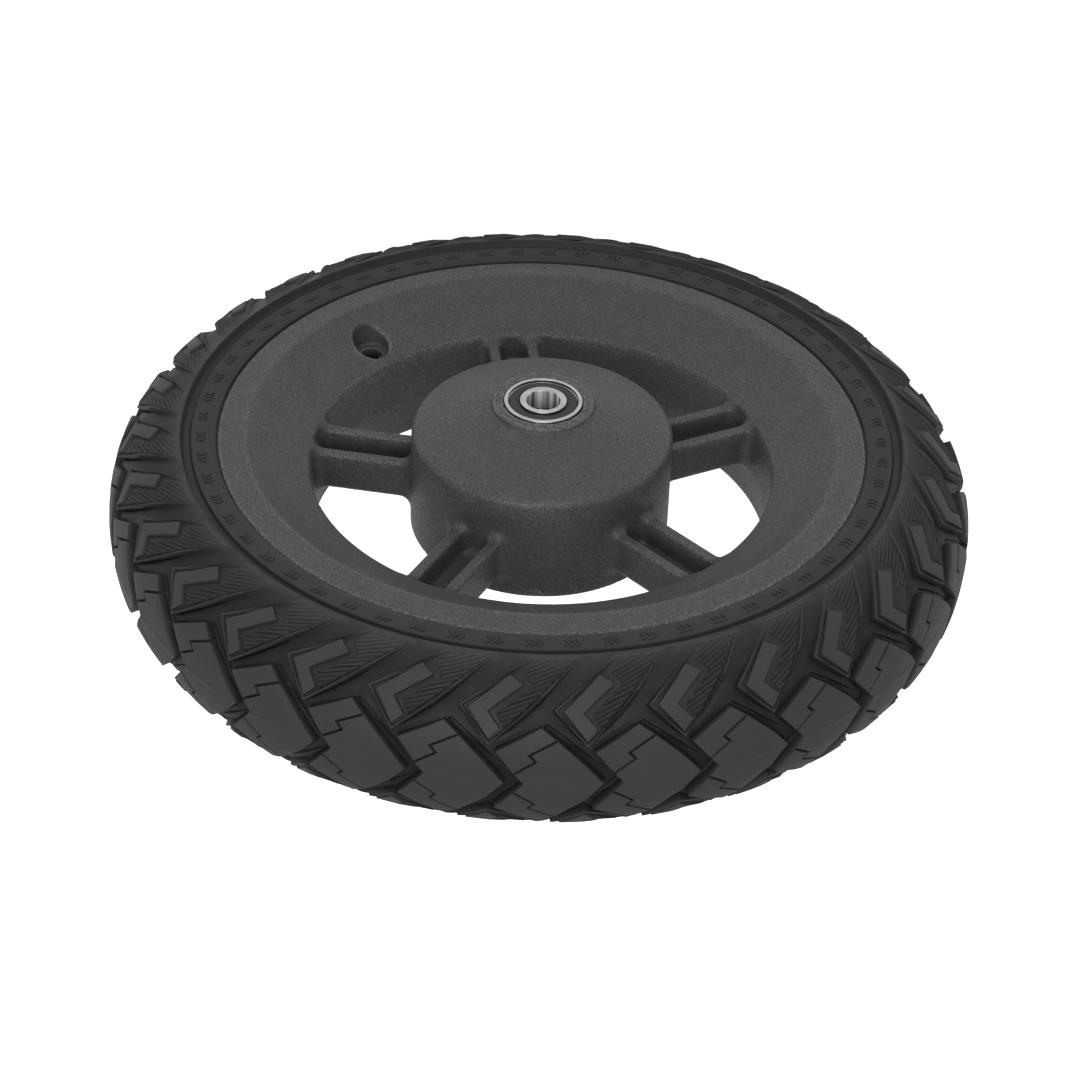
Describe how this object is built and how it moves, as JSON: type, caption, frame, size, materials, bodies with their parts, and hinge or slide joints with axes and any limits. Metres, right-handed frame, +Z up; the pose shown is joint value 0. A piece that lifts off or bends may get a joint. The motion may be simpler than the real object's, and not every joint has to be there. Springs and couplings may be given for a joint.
{
  "type": "hub motor wheel",
  "caption": "Spoked cast scooter wheel with a pneumatic tyre, a gearless motor in its hub drum and an open through-axle bore.",
  "frame": {"origin": "wheel centre: where the axle line crosses the middle plane of the tyre", "axes": "the axle lies along Y and the wheel stands upright; -Y points out of the spoked face with the open bearing, +Y towards the cable side, +Z up, and the cable leaves downwards"},
  "size_m": [0.311, 0.088, 0.311],
  "materials": {
    "tyre_rubber": "matt moulded rubber",
    "powder_coated_casting": "fine-textured dark grey powder coat over cast aluminium",
    "machined_aluminium": "die-cast and machined, satin",
    "ground_steel": "ground bearing steel",
    "screw_steel": "zinc-plated",
    "blackened_steel": "oil-blackened",
    "electrical_steel": "stacked laminations, varnished",
    "nickel_plate": "nickel-plated sintered magnet",
    "enamelled_copper": "copper wire with red-brown enamel",
    "insulation_board": "off-white insulation board",
    "circuit_board": "green solder mask",
    "seal_rubber": "black moulded rubber",
    "cable_sheath": "black flexible sheath",
    "plug_plastic": "black glass-filled nylon"
  },
  "bodies": {
    "stator": {"cable_plug": "plug_plastic", "circlip": "blackened_steel", "coil_01": "enamelled_copper", "coil_02": "enamelled_copper", "coil_03": "enamelled_copper", "coil_04": "enamelled_copper", "coil_05": "enamelled_copper", "coil_06": "enamelled_copper", "coil_07": "enamelled_copper", "coil_08": "enamelled_copper", "coil_09": "enamelled_copper", "coil_10": "enamelled_copper", "coil_11": "enamelled_copper", "coil_12": "enamelled_copper", "front_bearing_inner_ring": "ground_steel", "hall_sensor_board": "circuit_board", "insulator_front": "insulation_board", "insulator_rear": "insulation_board", "motor_cable": "cable_sheath", "rear_bearing_inner_ring": "ground_steel", "spindle": "ground_steel", "spindle_key": "blackened_steel", "stator_carrier": "machined_aluminium", "stator_core": "electrical_steel"},
    "wheel": {"cover_o_ring": "seal_rubber", "cover_screw_1": "screw_steel", "cover_screw_2": "screw_steel", "cover_screw_3": "screw_steel", "cover_screw_4": "screw_steel", "cover_screw_5": "screw_steel", "cover_screw_6": "screw_steel", "flux_ring": "blackened_steel", "front_bearing_inner_seal": "seal_rubber", "front_bearing_outer_ring": "ground_steel", "front_bearing_outer_seal": "seal_rubber", "magnet_01": "nickel_plate", "magnet_02": "nickel_plate", "magnet_03": "nickel_plate", "magnet_04": "nickel_plate", "magnet_05": "nickel_plate", "magnet_06": "nickel_plate", "magnet_07": "nickel_plate", "magnet_08": "nickel_plate", "magnet_09": "nickel_plate", "magnet_10": "nickel_plate", "magnet_11": "nickel_plate", "magnet_12": "nickel_plate", "magnet_13": "nickel_plate", "magnet_14": "nickel_plate", "rear_bearing_outer_ring": "ground_steel", "rear_bearing_outer_seal": "seal_rubber", "side_cover": "machined_aluminium", "tyre": "tyre_rubber", "valve": "seal_rubber", "wheel_casting": "powder_coated_casting"},
    "front_cage": {"front_bearing_ball_cage": "ground_steel"},
    "rear_cage": {"rear_bearing_ball_cage": "ground_steel"}
  },
  "joints": [
    {"name": "wheel_spin", "type": "hinge", "parent": "stator", "child": "wheel", "pos_m": [0, 0, 0], "axis": [0, 1, 0], "continuous": true},
    {"name": "front_cage_turn", "type": "hinge", "parent": "stator", "child": "front_cage", "pos_m": [0, -0.04, 0], "axis": [0, 1, 0], "continuous": true},
    {"name": "rear_cage_turn", "type": "hinge", "parent": "stator", "child": "rear_cage", "pos_m": [0, 0.0201, 0], "axis": [0, 1, 0], "continuous": true}
  ],
  "couplings": [
    {"joint": "front_cage_turn", "follows": "wheel_spin", "ratio": 0.619},
    {"joint": "rear_cage_turn", "follows": "wheel_spin", "ratio": 0.567}
  ]
}
